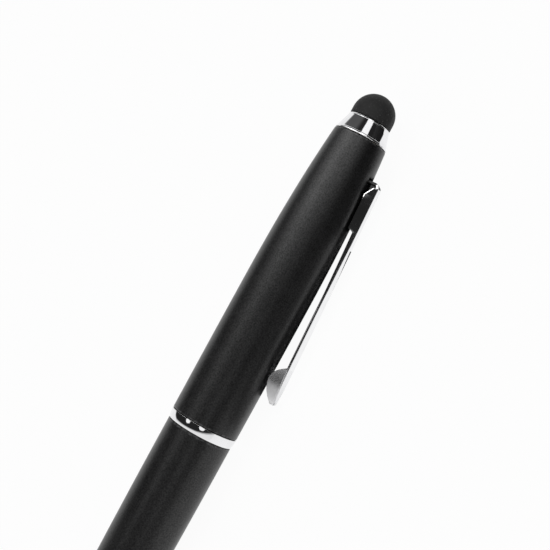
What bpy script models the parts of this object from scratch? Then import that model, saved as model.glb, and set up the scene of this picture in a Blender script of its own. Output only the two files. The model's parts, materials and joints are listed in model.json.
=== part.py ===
"""Twist ballpoint pen with a soft touch-screen tip, lying on a table and leaning on its pocket clip.

Every sub-part is modelled along the pen's own axis: local +Z runs from the writing end to the soft tip,
and local +X points at the pocket clip. Sizes are in metres.
"""

import math

import bmesh
import bpy
from mathutils import Matrix, Vector

# Fits between pieces
SEAM = 0.0001  # butted faces that show as a line
SEAT = 0.00015  # a piece resting on its shoulder
FIT = 0.00015  # pressed or screwed fits, on the radius
SLIDE_CLEARANCE = 0.00015
TURN_CLEARANCE = 0.00012
EDGE_BREAK = 0.00012

# Refill and writing tip
REFILL_RADIUS = 0.00295
REFILL_LENGTH = 0.098
REFILL_WALL = 0.0004
REFILL_FRONT_LENGTH = 0.0195
REFILL_NECK_RADIUS = 0.0016
REFILL_NECK_LENGTH = 0.011
REFILL_FLANGE = 0.002
REFILL_SPIGOT = 0.004
REFILL_PLUG_FLANGE = 0.0015
TIP_RECESS = 0.0025
TIP_TRAVEL = 0.0055
TIP_TUBE_RADIUS = 0.00115
TIP_TUBE_LENGTH = 0.012
TIP_TAPER_LENGTH = 0.0022
BALL_RADIUS = 0.0005
BALL_GAP = 0.00005
BALL_LIP = 0.00028
BALL_RIM = 0.00012
INK_BORE = 0.00025
INK_AIR_GAP = 0.0065  # air behind the ink

# Nose cone and lower barrel
CONE_LENGTH = 0.014
CONE_MOUTH_RIM = 0.00045
CONE_BULGE = 0.88
MOUTH_LAND = 0.003
NECK_CLEARANCE = 0.0003
SPRING_SEAT_SETBACK = 0.0035
SPIGOT_LENGTH = 0.006
SPIGOT_WALL = 0.00065
LOWER_LENGTH = 0.061
LOWER_FRONT_WALL = 0.00085
LOWER_REAR_WALL = 0.00091
LOWER_TAPER = 1.8
BUSH_WALL = 0.0005
BUSH_LENGTH = 0.0115

# Return spring
WIRE_RADIUS = 0.00022
SPRING_PLAY = 0.00035
SPRING_TURNS = 7
SPRING_POINTS_PER_TURN = 10

# Twist mechanism
GUIDE_WALL = 0.0005
GUIDE_FOOT_STEP = 0.00035
GUIDE_FLANGE_STEP = 0.0004
GUIDE_OVERRUN = 0.00235
GUIDE_FOOT_INSET = 0.0105
CAM_WALL = 0.00078
PLUNGER_LENGTH = 0.009
PIN_RADIUS = 0.00075
PIN_FIT = 0.00006
PIN_SETBACK = 0.0054
SLOT_CLEARANCE = 0.00015
TWIST = math.pi
TURNING_BUSH_LENGTH = 0.007
HEAD_ROOM = 0.0092

# Centre ring and upper barrel
RING_HEIGHT = 0.0016
RING_CROWN = 0.0001
UPPER_FOOT_WALL = 0.001185
BELLY_WALL = 0.00125
BELLY_HEIGHT = 0.0229
UPPER_TAPER = 2.4
NECK_WALL = 0.0008

# Soft tip and its fastening in the barrel's neck
STUD_RADIUS = 0.00185
STUD_LENGTH = 0.0045
STUD_DISC = 0.0006
STUD_BOSS_HEIGHT = 0.0015
STUD_DISC_RECESS = 0.0003
SOCKET_WALL = 0.00174
SOCKET_LENGTH = 0.0048
SOCKET_RECESS = 0.0002
COLLAR_HEIGHT = 0.0032
COLLAR_RIM = 0.00002
DOME_RADIUS = 0.00366
DOME_HEIGHT = 0.0048
DOME_SKIRT = 0.00114
DOME_WALL = 0.0009
DOME_NECK_STEP = 0.0009
DOME_FLANGE_STEP = 0.00035
DOME_FLANGE = 0.0006
DOME_LIP_ROUND = 0.00015

# Pocket clip, folded from one strip of sheet
CLIP_SHEET = 0.0004
CLIP_FOLD = 0.00035
CLIP_FOLD_LIMIT = 0.8  # largest share of a width or depth that a fold may take
CLIP_BEND = 0.0009
CLIP_LENGTH = 0.0399
CLIP_STANDOFF = 0.0018
CLIP_SPLAY = math.radians(2.8)
CLIP_ROOT_HALF_WIDTH = 0.00135
CLIP_ARM_HALF_WIDTH = 0.00185
CLIP_TIP_HALF_WIDTH = 0.0005
CLIP_LEAF_LENGTH = 0.0095
CLIP_WIDEN_LENGTH = 0.018
CLIP_ROOT_LENGTH = 0.0073
CLIP_ROOT_SLANT = 0.0024
CLIP_ROOT_HEEL = 0.00035
CLIP_FLANGE = 0.0006
CLIP_FIN_LENGTH = 0.0065
CLIP_FIN_PINCH = 0.55
CLIP_FIN_RISE = 1.6  # how quickly the fin deepens from the arm
CLIP_FIN_FLATNESS = 2.5  # how it falls off to the tip
CLIP_FIN_FULLNESS = 2 / 3
CLIP_STRIP_EDGE = 0.00006
CLIP_GAP = 0.0003
TONGUE_REACH = 0.001
TONGUE_PLAY = 0.0003
RETAINER_LENGTH = 0.0026
RETAINER_WALL = 0.0013

# Facets round a turn, and steps along curved outlines
BARREL_FACETS = 48
TRIM_FACETS = 32
INNER_FACETS = 24
BALL_FACETS = 16
PIN_FACETS = 16
HALF_ROUND_STEPS = 8
CONE_STEPS = 8
LOWER_STEPS = 8
FOOT_STEPS = 3
UPPER_STEPS = 10
RING_STEPS = 4
DOME_STEPS = 6
HELIX_STEPS = 24
HELIX_END_ANGLES = (15, 40, 65, 90)
CLIP_BEND_STEPS = 4
CLIP_ROOT_STEPS = 3
CLIP_ARM_STEPS = 8
CLIP_FIN_STEPS = 14
CLIP_FOLD_STEPS = 2
SHARP_ANGLE = math.radians(32)
MERGE_DISTANCE = 1e-7

# Places along the pen, from the mouth of the nose cone
cone_end = CONE_LENGTH
spigot_end = cone_end + SPIGOT_LENGTH
spring_seat = cone_end - SPRING_SEAT_SETBACK
lower_start = cone_end + SEAM
lower_end = lower_start + LOWER_LENGTH
ring_start = lower_end + SEAM
ring_end = ring_start + RING_HEIGHT
upper_start = ring_end + SEAM
ball_height = TIP_RECESS + BALL_RADIUS
tip_lip = ball_height - BALL_LIP
tip_rear = tip_lip + TIP_TUBE_LENGTH
refill_shoulder = TIP_RECESS + REFILL_FRONT_LENGTH
refill_neck_start = refill_shoulder - REFILL_NECK_LENGTH
refill_tube_start = refill_shoulder + REFILL_FLANGE + SEAT
refill_rear = TIP_RECESS + REFILL_LENGTH
refill_tube_end = refill_rear - REFILL_PLUG_FLANGE - SEAT
plunger_front = refill_rear + SEAT
plunger_rear = plunger_front + PLUNGER_LENGTH
pin_height = plunger_front + PIN_SETBACK
guide_foot_start = lower_end - GUIDE_FOOT_INSET
guide_foot_end = upper_start + TURNING_BUSH_LENGTH
guide_top = plunger_rear + GUIDE_OVERRUN
bore_step = guide_top + HEAD_ROOM
retainer_end = bore_step + RETAINER_LENGTH
tongue_face = retainer_end + TONGUE_PLAY + CLIP_SHEET
socket_start = tongue_face + TONGUE_PLAY
socket_end = socket_start + SOCKET_LENGTH
upper_end = socket_end + SOCKET_RECESS
belly = upper_start + BELLY_HEIGHT
collar_start = upper_end + SEAM
collar_end = collar_start + COLLAR_HEIGHT
disc_start = collar_start + STUD_DISC_RECESS
disc_end = disc_start + STUD_DISC
dome_flange_start = disc_end + SEAT
dome_flange_end = dome_flange_start + DOME_FLANGE
collar_lip = dome_flange_end + SEAT
dome_start = collar_end + SEAM
dome_end = dome_start + DOME_HEIGHT

# Radii, nested from the refill outwards
guide_bore = REFILL_RADIUS + SLIDE_CLEARANCE
guide_radius = guide_bore + GUIDE_WALL
guide_foot_radius = guide_radius + GUIDE_FOOT_STEP
guide_flange_radius = guide_foot_radius + GUIDE_FLANGE_STEP
cam_bore = guide_radius + TURN_CLEARANCE
cam_radius = cam_bore + CAM_WALL
upper_bore = cam_radius + FIT
belly_radius = upper_bore + BELLY_WALL
upper_foot_radius = upper_bore + UPPER_FOOT_WALL
bush_bore = guide_foot_radius + FIT
bush_radius = bush_bore + BUSH_WALL
lower_rear_bore = bush_radius + FIT
lower_rear_radius = lower_rear_bore + LOWER_REAR_WALL
chamber_radius = REFILL_RADIUS + SLIDE_CLEARANCE
spigot_radius = chamber_radius + SPIGOT_WALL
lower_bore = spigot_radius + FIT
lower_front_radius = lower_bore + LOWER_FRONT_WALL
mouth_bore = TIP_TUBE_RADIUS + SLIDE_CLEARANCE
mouth_radius = mouth_bore + CONE_MOUTH_RIM
neck_passage = REFILL_NECK_RADIUS + NECK_CLEARANCE
spring_radius = REFILL_NECK_RADIUS + SPRING_PLAY + WIRE_RADIUS
refill_bore = REFILL_RADIUS - REFILL_WALL
socket_bore = STUD_RADIUS + FIT
socket_radius = socket_bore + SOCKET_WALL
neck_bore = socket_radius + FIT
top_radius = neck_bore + NECK_WALL
dome_neck = DOME_RADIUS - DOME_NECK_STEP
dome_flange_radius = dome_neck + DOME_FLANGE_STEP


def clear_scene():
    for old in list(bpy.data.objects):
        bpy.data.objects.remove(old)


def finish(name, colour, roughness, metallic):
    """A Principled material, made once and shared by the pieces with that finish."""
    found = bpy.data.materials.get(name)
    if found:
        return found
    made = bpy.data.materials.new(name)
    made.use_nodes = True
    shader = made.node_tree.nodes["Principled BSDF"]
    shader.inputs["Base Color"].default_value = (*colour, 1.0)
    shader.inputs["Roughness"].default_value = roughness
    shader.inputs["Metallic"].default_value = metallic
    return made


def black_lacquer():
    return finish("black_lacquer", (0.018, 0.018, 0.019), 0.42, 0.0)


def chrome():
    return finish("chrome", (0.86, 0.86, 0.87), 0.08, 1.0)


def soft_rubber():
    return finish("soft_rubber", (0.022, 0.022, 0.022), 0.62, 0.0)


def brass():
    return finish("brass", (0.72, 0.52, 0.24), 0.28, 1.0)


def steel():
    return finish("steel", (0.62, 0.62, 0.63), 0.22, 1.0)


def white_plastic():
    return finish("white_plastic", (0.82, 0.82, 0.8), 0.4, 0.0)


def ink():
    return finish("ink", (0.01, 0.012, 0.05), 0.15, 0.0)


def axis_empty(name, parent, place):
    """An empty whose own Z axis lies along the pen's axis at rest."""
    empty = bpy.data.objects.new(name, None)
    empty.empty_display_size = 0.01
    bpy.context.collection.objects.link(empty)
    empty.parent = parent
    empty.location = place
    return empty


def piece(name, mesh, material, parent):
    """A named sub-part, shaded smooth with its true edges kept sharp."""
    mesh.materials.append(material)
    mesh.shade_smooth()
    mesh.set_sharp_from_angle(angle=SHARP_ANGLE)
    made = bpy.data.objects.new(name, mesh)
    bpy.context.collection.objects.link(made)
    made.parent = parent
    return made


def mesh_from(name, shape):
    """The mesh of a bmesh, with its doubles merged and its faces turned outwards."""
    bmesh.ops.remove_doubles(shape, verts=shape.verts, dist=MERGE_DISTANCE)
    bmesh.ops.recalc_face_normals(shape, faces=shape.faces)
    mesh = bpy.data.meshes.new(name)
    shape.to_mesh(mesh)
    shape.free()
    return mesh


def turned(name, outline, material, parent, facets):
    """A lathe-turned piece. Its (radius, height) outline closes on itself or on the axis."""
    shape = bmesh.new()
    points = [shape.verts.new((radius, 0.0, height)) for radius, height in outline]
    for first, second in zip(points, points[1:]):
        shape.edges.new((first, second))
    if outline[0][0] > 0 and outline[-1][0] > 0:
        shape.edges.new((points[-1], points[0]))
    bmesh.ops.spin(
        shape,
        geom=shape.verts[:] + shape.edges[:],
        cent=(0, 0, 0),
        axis=(0, 0, 1),
        angle=2 * math.pi,
        steps=facets,
        use_merge=True,
    )
    return piece(name, mesh_from(name, shape), material, parent)


def steps(start, end, count):
    """Evenly spaced values from start to end, both included."""
    return [start + (end - start) * index / count for index in range(count + 1)]


def arc(centre, radius, start, end, count):
    """Points on a circle about (radius, height), between two angles in degrees."""
    angles = [math.radians(angle) for angle in steps(start, end, count)]
    return [(centre[0] + radius * math.cos(a), centre[1] + radius * math.sin(a)) for a in angles]


def tube(inner, outer, low, high):
    """The outline of a plain tube with broken outer edges."""
    return [
        (inner, low),
        (outer - EDGE_BREAK, low),
        (outer, low + EDGE_BREAK),
        (outer, high - EDGE_BREAK),
        (outer - EDGE_BREAK, high),
        (inner, high),
    ]


def cut(target, cutter):
    """A Boolean difference whose cutter stays in the scene as a wire guide."""
    cutter.hide_render = True
    cutter.display_type = "WIRE"
    cutter.parent = target.parent
    boolean = target.modifiers.new(cutter.name, "BOOLEAN")
    boolean.operation = "DIFFERENCE"
    boolean.solver = "EXACT"
    boolean.object = cutter


def guide_object(name, shape):
    made = bpy.data.objects.new(name, mesh_from(name, shape))
    bpy.context.collection.objects.link(made)
    return made


def lofted(shape, loops):
    """Joins closed loops of equal length by side faces and caps both ends."""
    rings = [[shape.verts.new(point) for point in loop] for loop in loops]
    for ring, following in zip(rings, rings[1:]):
        for index in range(len(ring)):
            other = (index + 1) % len(ring)
            shape.faces.new((ring[index], ring[other], following[other], following[index]))
    shape.faces.new(rings[0])
    shape.faces.new(rings[-1])


def cone_radius(height):
    share = height / CONE_LENGTH
    return mouth_radius + (lower_front_radius - mouth_radius) * share**CONE_BULGE


def lower_radius(height):
    share = (lower_end - height) / LOWER_LENGTH
    return lower_rear_radius - (lower_rear_radius - lower_front_radius) * share**LOWER_TAPER


def upper_radius(height):
    """The upper barrel swells a little from its foot to its belly and then narrows to its neck."""
    if height < belly:
        share = (belly - height) / BELLY_HEIGHT
        return belly_radius - (belly_radius - upper_foot_radius) * share**2
    share = (height - belly) / (upper_end - belly)
    return belly_radius - (belly_radius - top_radius) * share**UPPER_TAPER


def make_nose_cone(parent):
    rounded = cone_radius(EDGE_BREAK)
    outline = [(mouth_bore, 0.0), (rounded - EDGE_BREAK, 0.0)]
    heights = steps(EDGE_BREAK, cone_end - EDGE_BREAK, CONE_STEPS)
    outline += [(cone_radius(height), height) for height in heights]
    outline += [
        (lower_front_radius - EDGE_BREAK, cone_end),
        (spigot_radius, cone_end),
        (spigot_radius, spigot_end),
        (chamber_radius, spigot_end),
        (chamber_radius, spring_seat),
        (neck_passage, spring_seat),
        (neck_passage, MOUTH_LAND),
        (mouth_bore, MOUTH_LAND - (neck_passage - mouth_bore)),
    ]
    turned("nose_cone", outline, chrome(), parent, TRIM_FACETS)


def make_lower_barrel(parent):
    bush_shoulder = lower_end - BUSH_LENGTH - SEAT
    outline = [(lower_bore, lower_start), (lower_front_radius - EDGE_BREAK, lower_start)]
    heights = steps(lower_start + EDGE_BREAK, lower_end - EDGE_BREAK, LOWER_STEPS)
    outline += [(lower_radius(height), height) for height in heights]
    outline += [
        (lower_rear_radius - EDGE_BREAK, lower_end),
        (lower_rear_bore, lower_end),
        (lower_rear_bore, bush_shoulder),
        (lower_bore, bush_shoulder),
    ]
    turned("lower_barrel", outline, black_lacquer(), parent, BARREL_FACETS)


def make_thread_bush(parent):
    outline = tube(bush_bore, bush_radius, lower_end - BUSH_LENGTH, lower_end)
    turned("thread_bush", outline, brass(), parent, INNER_FACETS)


def make_centre_ring(parent):
    """A slim crowned band that leads from the lower barrel's size to the upper one's."""
    bore = guide_flange_radius + FIT
    outline = [(bore, ring_start), (lower_rear_radius - EDGE_BREAK, ring_start)]
    for share in steps(0.0, 1.0, RING_STEPS):
        height = ring_start + EDGE_BREAK + (RING_HEIGHT - 2 * EDGE_BREAK) * share
        radius = lower_rear_radius + (upper_foot_radius - lower_rear_radius) * share
        outline.append((radius + RING_CROWN * math.sin(math.pi * share), height))
    outline += [(upper_foot_radius - EDGE_BREAK, ring_end), (bore, ring_end)]
    turned("centre_ring", outline, chrome(), parent, BARREL_FACETS)


def make_guide_sleeve(parent):
    """The mechanism's fixed tube: threaded foot, flange inside the ring, two straight slots for the pin."""
    outline = [
        (guide_bore, guide_foot_start),
        (guide_foot_radius, guide_foot_start),
        (guide_foot_radius, ring_start),
        (guide_flange_radius, ring_start),
        (guide_flange_radius, ring_end),
        (guide_foot_radius, ring_end),
        (guide_foot_radius, guide_foot_end),
        (guide_radius, guide_foot_end),
        (guide_radius, guide_top),
        (guide_bore, guide_top),
    ]
    sleeve = turned("guide_sleeve", outline, brass(), parent, INNER_FACETS)
    half_slot = PIN_RADIUS + SLOT_CLEARANCE
    top = (0.0, pin_height)
    bottom = (0.0, pin_height - TIP_TRAVEL)
    rim = arc(top, half_slot, 0, 180, HALF_ROUND_STEPS) + arc(bottom, half_slot, 180, 360, HALF_ROUND_STEPS)
    shape = bmesh.new()
    lofted(shape, [[(x, side * cam_radius, z) for x, z in rim] for side in (-1, 1)])
    cut(sleeve, guide_object("straight_slot_cutter", shape))


def helical_slot(start_angle):
    """One helical slot of the cam: a ribbon through the wall that falls by the tip's travel."""
    half_slot = PIN_RADIUS + SLOT_CLEARANCE
    across = cam_bore * TWIST
    length = math.hypot(across, TIP_TRAVEL)
    along = Vector((across, -TIP_TRAVEL)) / length
    side = Vector((-along.y, along.x))
    round_end = [math.radians(angle) for angle in HELIX_END_ANGLES]
    stations = [(-half_slot * math.cos(a), half_slot * math.sin(a)) for a in round_end]
    stations += [(distance, half_slot) for distance in steps(0.0, length, HELIX_STEPS)[1:-1]]
    stations += [(length + half_slot * math.cos(a), half_slot * math.sin(a)) for a in reversed(round_end)]
    loops = []
    for distance, half_width in stations:
        loop = []
        for sign, radius in ((-1, guide_bore), (1, guide_bore), (1, upper_bore), (-1, upper_bore)):
            place = along * distance + side * (sign * half_width)
            angle = start_angle + place.x / cam_bore
            loop.append((radius * math.cos(angle), radius * math.sin(angle), pin_height + place.y))
        loops.append(loop)
    shape = bmesh.new()
    lofted(shape, loops)
    return shape


def make_cam_sleeve(parent):
    """The mechanism's turning tube, whose two helical slots drive the pin up and down the straight ones."""
    low = guide_foot_end + 2 * SEAT + friction_section()
    outline = tube(cam_bore, cam_radius, low + SEAT, bore_step - SEAT)
    sleeve = turned("cam_sleeve", outline, white_plastic(), parent, INNER_FACETS)
    for index, start_angle in enumerate((math.pi / 2, 3 * math.pi / 2)):
        cut(sleeve, guide_object(f"helical_slot_cutter_{index + 1}", helical_slot(start_angle)))


def make_turning_bush(parent):
    bore = guide_foot_radius + TURN_CLEARANCE
    outline = tube(bore, upper_bore - FIT, upper_start, guide_foot_end)
    turned("turning_bush", outline, white_plastic(), parent, INNER_FACETS)


def friction_section():
    """The rubber ring's cord diameter fills the space between the guide sleeve and the barrel."""
    return upper_bore - guide_radius - 2 * FIT


def make_friction_ring(parent):
    cord = friction_section() / 2
    centre = (guide_radius + FIT + cord, guide_foot_end + SEAT + cord)
    outline = arc(centre, cord, 0, 360, HALF_ROUND_STEPS)[:-1]
    turned("friction_ring", outline, soft_rubber(), parent, INNER_FACETS)


def make_plunger(parent):
    nub = REFILL_RADIUS - REFILL_WALL
    outline = [
        (0.0, plunger_front),
        (nub, plunger_front),
        (REFILL_RADIUS, plunger_front + REFILL_WALL),
        (REFILL_RADIUS, plunger_rear - EDGE_BREAK),
        (REFILL_RADIUS - EDGE_BREAK, plunger_rear),
        (0.0, plunger_rear),
    ]
    plunger = turned("plunger", outline, white_plastic(), parent, INNER_FACETS)
    shape = bmesh.new()
    hole = arc((0.0, pin_height), PIN_RADIUS + PIN_FIT, 0, 360, PIN_FACETS)[:-1]
    lofted(shape, [[(x, side * cam_radius, z) for x, z in hole] for side in (-1, 1)])
    cut(plunger, guide_object("pin_hole_cutter", shape))


def make_plunger_pin(parent):
    half_length = cam_radius - EDGE_BREAK
    rim = arc((0.0, pin_height), PIN_RADIUS, 0, 360, PIN_FACETS)[:-1]
    shape = bmesh.new()
    lofted(shape, [[(x, side * half_length, z) for x, z in rim] for side in (-1, 1)])
    piece("plunger_pin", mesh_from("plunger_pin", shape), steel(), parent)


def make_refill_plug(parent):
    spigot = refill_bore - FIT
    outline = [
        (0.0, refill_tube_end - REFILL_SPIGOT),
        (spigot, refill_tube_end - REFILL_SPIGOT),
        (spigot, refill_rear - REFILL_PLUG_FLANGE),
        (REFILL_RADIUS, refill_rear - REFILL_PLUG_FLANGE),
        (REFILL_RADIUS, refill_rear - EDGE_BREAK),
        (REFILL_RADIUS - EDGE_BREAK, refill_rear),
        (0.0, refill_rear),
    ]
    turned("refill_plug", outline, white_plastic(), parent, INNER_FACETS)


def make_refill_tube(parent):
    outline = [
        (refill_bore, refill_tube_start),
        (REFILL_RADIUS, refill_tube_start),
        (REFILL_RADIUS, refill_tube_end),
        (refill_bore, refill_tube_end),
    ]
    turned("refill_tube", outline, steel(), parent, INNER_FACETS)


def make_ink_column(parent):
    low = refill_tube_start + REFILL_SPIGOT + SEAT
    high = refill_tube_end - REFILL_SPIGOT - INK_AIR_GAP
    radius = refill_bore - FIT
    outline = [(0.0, low), (radius, low), (radius, high), (0.0, high)]
    turned("ink_column", outline, ink(), parent, INNER_FACETS)


def make_refill_nose(parent):
    """The brass front of the refill: neck for the spring, shoulder, and a spigot into the ink tube."""
    tip_bore = TIP_TUBE_RADIUS + FIT
    flange_end = refill_shoulder + REFILL_FLANGE
    spigot = refill_bore - FIT
    outline = [
        (tip_bore, refill_neck_start),
        (REFILL_NECK_RADIUS, refill_neck_start),
        (REFILL_NECK_RADIUS, refill_shoulder),
        (REFILL_RADIUS, refill_shoulder),
        (REFILL_RADIUS, flange_end),
        (spigot, flange_end),
        (spigot, refill_tube_start + REFILL_SPIGOT),
        (INK_BORE, refill_tube_start + REFILL_SPIGOT),
        (INK_BORE, tip_rear + SEAT),
        (tip_bore, tip_rear + SEAT),
    ]
    turned("refill_nose", outline, brass(), parent, INNER_FACETS)


def make_tip_tube(parent):
    """The steel tip. Its lip closes round the ball past its centre, and ink reaches it from behind."""
    cup = BALL_RADIUS + BALL_GAP
    lip_angle = 180 + math.degrees(math.asin(BALL_LIP / cup))
    feed_angle = 180 - math.degrees(math.acos(INK_BORE / cup))
    cup_arc = arc((0.0, ball_height), cup, feed_angle, lip_angle, HALF_ROUND_STEPS)
    cup_wall = [(-x, z) for x, z in cup_arc]
    lip_radius = cup_wall[-1][0] + BALL_RIM
    outline = [
        (lip_radius, tip_lip),
        (TIP_TUBE_RADIUS, tip_lip + TIP_TAPER_LENGTH),
        (TIP_TUBE_RADIUS, tip_rear),
        (INK_BORE, tip_rear),
    ]
    turned("tip_tube", outline + cup_wall, steel(), parent, INNER_FACETS)


def make_writing_ball(parent):
    outline = arc((0.0, 0.0), BALL_RADIUS, -90, 90, HALF_ROUND_STEPS)
    outline[0] = (0.0, -BALL_RADIUS)
    outline[-1] = (0.0, BALL_RADIUS)
    turned("writing_ball", outline, steel(), parent, BALL_FACETS)


def make_return_spring(parent):
    """One unbroken wire wound round the refill's neck, from the cone's seat to the refill's shoulder."""
    low = spring_seat + SEAT + WIRE_RADIUS
    high = refill_shoulder - SEAT - WIRE_RADIUS
    count = SPRING_TURNS * SPRING_POINTS_PER_TURN
    points = []
    for index in range(count + 1):
        angle = 2 * math.pi * index / SPRING_POINTS_PER_TURN
        height = low + (high - low) * index / count
        points.append(Vector((spring_radius * math.cos(angle), spring_radius * math.sin(angle), height)))
    turn = SPRING_POINTS_PER_TURN
    apart = [(a - b).length for k, a in enumerate(points) for b in points[k + turn // 2 :]]
    print(f"return_spring: least gap to itself {1000 * (min(apart) - 2 * WIRE_RADIUS):.2f} mm")
    wire = bpy.data.curves.new("return_spring", "CURVE")
    wire.dimensions = "3D"
    wire.bevel_depth = WIRE_RADIUS
    wire.bevel_resolution = 1
    wire.use_fill_caps = True
    spline = wire.splines.new("POLY")
    spline.points.add(count)
    for place, point in zip(spline.points, points):
        place.co = (*point, 1.0)
    wire.materials.append(steel())
    spring = bpy.data.objects.new("return_spring", wire)
    bpy.context.collection.objects.link(spring)
    spring.parent = parent


def make_upper_barrel(parent):
    """The tapered upper shell, with a slot near its neck for the clip's tongue."""
    outline = [(upper_bore, upper_start), (upper_foot_radius - EDGE_BREAK, upper_start)]
    heights = steps(upper_start + EDGE_BREAK, belly, FOOT_STEPS)
    heights += steps(belly, upper_end - EDGE_BREAK, UPPER_STEPS)[1:]
    outline += [(upper_radius(height), height) for height in heights]
    outline += [
        (top_radius - EDGE_BREAK, upper_end),
        (neck_bore, upper_end),
        (neck_bore, bore_step),
        (upper_bore, bore_step),
    ]
    barrel = turned("upper_barrel", outline, black_lacquer(), parent, BARREL_FACETS)
    half_width = CLIP_ROOT_HALF_WIDTH + TONGUE_PLAY
    low = retainer_end
    high = socket_start
    shape = bmesh.new()
    corners = ((-half_width, low), (half_width, low), (half_width, high), (-half_width, high))
    inner = neck_bore - TONGUE_REACH
    lofted(shape, [[(x, y, z) for y, z in corners] for x in (inner, belly_radius)])
    cut(barrel, guide_object("tongue_slot_cutter", shape))


def make_clip_retainer(parent):
    outline = tube(socket_radius - RETAINER_WALL, socket_radius, bore_step + SEAT, retainer_end)
    turned("clip_retainer", outline, white_plastic(), parent, INNER_FACETS)


def make_stylus_socket(parent):
    outline = tube(socket_bore, socket_radius, socket_start, socket_end)
    turned("stylus_socket", outline, brass(), parent, INNER_FACETS)


def make_stylus_collar(parent):
    """The chrome cone, flush with the barrel's neck, whose lip holds the soft tip's flange from above."""
    rim = DOME_RADIUS - COLLAR_RIM
    lip_bore = dome_neck + FIT
    hollow = dome_flange_radius + FIT
    outline = [
        (hollow, collar_start),
        (top_radius - EDGE_BREAK, collar_start),
        (top_radius, collar_start + EDGE_BREAK),
        (rim, collar_end - EDGE_BREAK),
        (rim - EDGE_BREAK, collar_end),
        (lip_bore, collar_end),
        (lip_bore, collar_lip),
        (hollow, collar_lip),
    ]
    turned("stylus_collar", outline, chrome(), parent, TRIM_FACETS)


def make_stylus_stud(parent):
    boss = dome_neck - DOME_WALL - FIT
    boss_end = disc_end + STUD_BOSS_HEIGHT
    outline = [
        (0.0, disc_start - STUD_LENGTH),
        (STUD_RADIUS - EDGE_BREAK, disc_start - STUD_LENGTH),
        (STUD_RADIUS, disc_start - STUD_LENGTH + EDGE_BREAK),
        (STUD_RADIUS, disc_start),
        (dome_flange_radius, disc_start),
        (dome_flange_radius, disc_end),
        (boss, disc_end),
        (boss, boss_end - EDGE_BREAK),
        (boss - EDGE_BREAK, boss_end),
        (0.0, boss_end),
    ]
    turned("stylus_stud", outline, brass(), parent, INNER_FACETS)


def make_stylus_dome(parent):
    """The hollow rubber tip: a flange caught in the collar, a neck through its lip, and the dome."""
    skirt_top = dome_start + DOME_SKIRT
    crown = DOME_HEIGHT - DOME_SKIRT
    inner_radius = DOME_RADIUS - DOME_WALL
    throat = dome_neck - DOME_WALL
    quarter = [math.radians(angle) for angle in steps(0, 90, DOME_STEPS)]
    outer = [(DOME_RADIUS * math.cos(a), skirt_top + crown * math.sin(a)) for a in quarter]
    rise = crown - DOME_WALL
    inner = [(inner_radius * math.cos(a), skirt_top + rise * math.sin(a)) for a in quarter[:-1:2]]
    outer[-1] = (0.0, dome_end)
    outline = [
        (throat, dome_flange_start),
        (dome_flange_radius, dome_flange_start),
        (dome_flange_radius, dome_flange_end),
        (dome_neck, dome_flange_end),
        (dome_neck, dome_start),
        (DOME_RADIUS - DOME_LIP_ROUND, dome_start),
        (DOME_RADIUS, dome_start + DOME_LIP_ROUND),
    ]
    outline += outer
    ceiling = (0.0, dome_end - DOME_WALL)
    outline = [ceiling] + inner[::-1] + [(throat, dome_start)] + outline
    turned("stylus_dome", outline, soft_rubber(), parent, TRIM_FACETS)


def clip_half_width(distance, arm_length):
    """Narrow at the root, widest along the arm, and rounded like a leaf at the tip."""
    leaf_start = arm_length - CLIP_LEAF_LENGTH
    if distance > leaf_start:
        share = (distance - leaf_start) / CLIP_LEAF_LENGTH
        leaf = math.sqrt(max(0.0, 1.0 - share**2))
        return CLIP_TIP_HALF_WIDTH + (CLIP_ARM_HALF_WIDTH - CLIP_TIP_HALF_WIDTH) * leaf
    share = min(1.0, max(0.0, (distance - CLIP_ROOT_LENGTH) / CLIP_WIDEN_LENGTH))
    blend = share * share * (3 - 2 * share)
    return CLIP_ROOT_HALF_WIDTH + (CLIP_ARM_HALF_WIDTH - CLIP_ROOT_HALF_WIDTH) * blend


def clip_arm_start():
    """Where the clip's outer face leaves the bend over the tongue, as (radius, height)."""
    centre_height = tongue_face - CLIP_BEND
    centre_radius = upper_radius(centre_height) + CLIP_STANDOFF - CLIP_BEND
    return (
        centre_radius + CLIP_BEND * math.cos(CLIP_SPLAY),
        centre_height + CLIP_BEND * math.sin(CLIP_SPLAY),
    )


def clip_reach_to_barrel(face_radius, height, half_width):
    """How deep a flange goes from the clip's outer face to just above the barrel."""
    surface = math.sqrt((upper_radius(height) + CLIP_GAP) ** 2 - half_width**2)
    return (face_radius - surface) / math.cos(CLIP_SPLAY)


def clip_fin_swell(along):
    """The fin's depth as a share of its greatest, from -1 at the arm to 1 at the tip."""
    if along < 0:
        return 1.0 - abs(along) ** CLIP_FIN_RISE
    return max(0.0, 1.0 - along**CLIP_FIN_FLATNESS) ** CLIP_FIN_FULLNESS


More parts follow.
